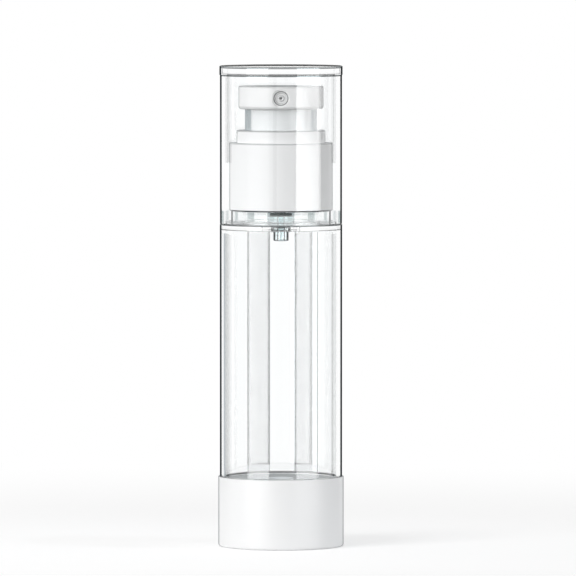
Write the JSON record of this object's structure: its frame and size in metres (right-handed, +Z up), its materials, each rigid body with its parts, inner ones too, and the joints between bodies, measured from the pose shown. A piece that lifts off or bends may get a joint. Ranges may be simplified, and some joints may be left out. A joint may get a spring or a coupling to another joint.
{
  "type": "airless pump bottle",
  "caption": "Clear cylindrical airless dispenser with a white press-fit base, a follower piston, a metering pump with a press head, and a clear overcap.",
  "frame": {"origin": "centre of the face that the base stands on", "axes": "+Z up along the bottle's axis, -Y towards the nozzle, +X to the right of the front"},
  "size_m": [0.034, 0.034, 0.1301],
  "materials": {
    "clear_barrel": "polished clear styrene plastic",
    "clear_overcap": "polished clear styrene plastic",
    "clear_tail": "clear moulded plastic",
    "natural_skirt": "natural translucent polypropylene",
    "white_base": "glossy white polypropylene",
    "white_collar": "glossy white polypropylene",
    "white_head": "glossy white polypropylene",
    "white_pump": "white moulded polypropylene",
    "natural_pump": "natural polypropylene",
    "follower": "natural polyethylene",
    "seal_rubber": "translucent silicone",
    "valve_rubber": "dark nitrile rubber",
    "spring_steel": "stainless spring wire",
    "ball_steel": "polished stainless steel"
  },
  "bodies": {
    "bottle": {"base": "white_base", "barrel": "clear_barrel", "pump_tail": "clear_tail", "tail_seal": "seal_rubber", "pump_housing": "white_pump", "neck_gasket": "seal_rubber", "closure_ring": "natural_pump", "housing_cap": "natural_pump", "return_spring": "spring_steel", "collar": "white_collar"},
    "follower": {"follower_piston": "follower"},
    "inlet_valve": {"inlet_disc": "valve_rubber"},
    "plunger": {"pump_stem": "white_pump", "dosing_piston": "natural_pump"},
    "actuator": {"actuator_head": "white_head", "nozzle_insert": "white_head", "actuator_skirt": "natural_skirt", "spring_cover": "white_pump"},
    "outlet_valve": {"outlet_ball": "ball_steel"},
    "cap": {"overcap": "clear_overcap"}
  },
  "joints": [
    {"name": "press", "type": "slide", "parent": "bottle", "child": "plunger", "axis": [0, 0, -1], "range_m": [0, 0.0054], "stiffness_N_per_m": 900, "springref_m": -0.009, "deforming": ["return_spring"]},
    {"name": "head_turn", "type": "hinge", "parent": "plunger", "child": "actuator", "pos_m": [0, 0, 0.1184], "axis": [0, 0, 1], "continuous": true},
    {"name": "follower_rise", "type": "slide", "parent": "bottle", "child": "follower", "axis": [0, 0, 1], "range_m": [0, 0.0673]},
    {"name": "inlet_lift", "type": "slide", "parent": "bottle", "child": "inlet_valve", "axis": [0, 0, 1], "range_m": [0, 0.0008]},
    {"name": "outlet_lift", "type": "slide", "parent": "plunger", "child": "outlet_valve", "axis": [0, 0, 1], "range_m": [0, 0.0007]},
    {"name": "cap_pull", "type": "slide", "parent": "bottle", "child": "cap", "axis": [0, 0, 1], "range_m": [0, 0.045]}
  ]
}
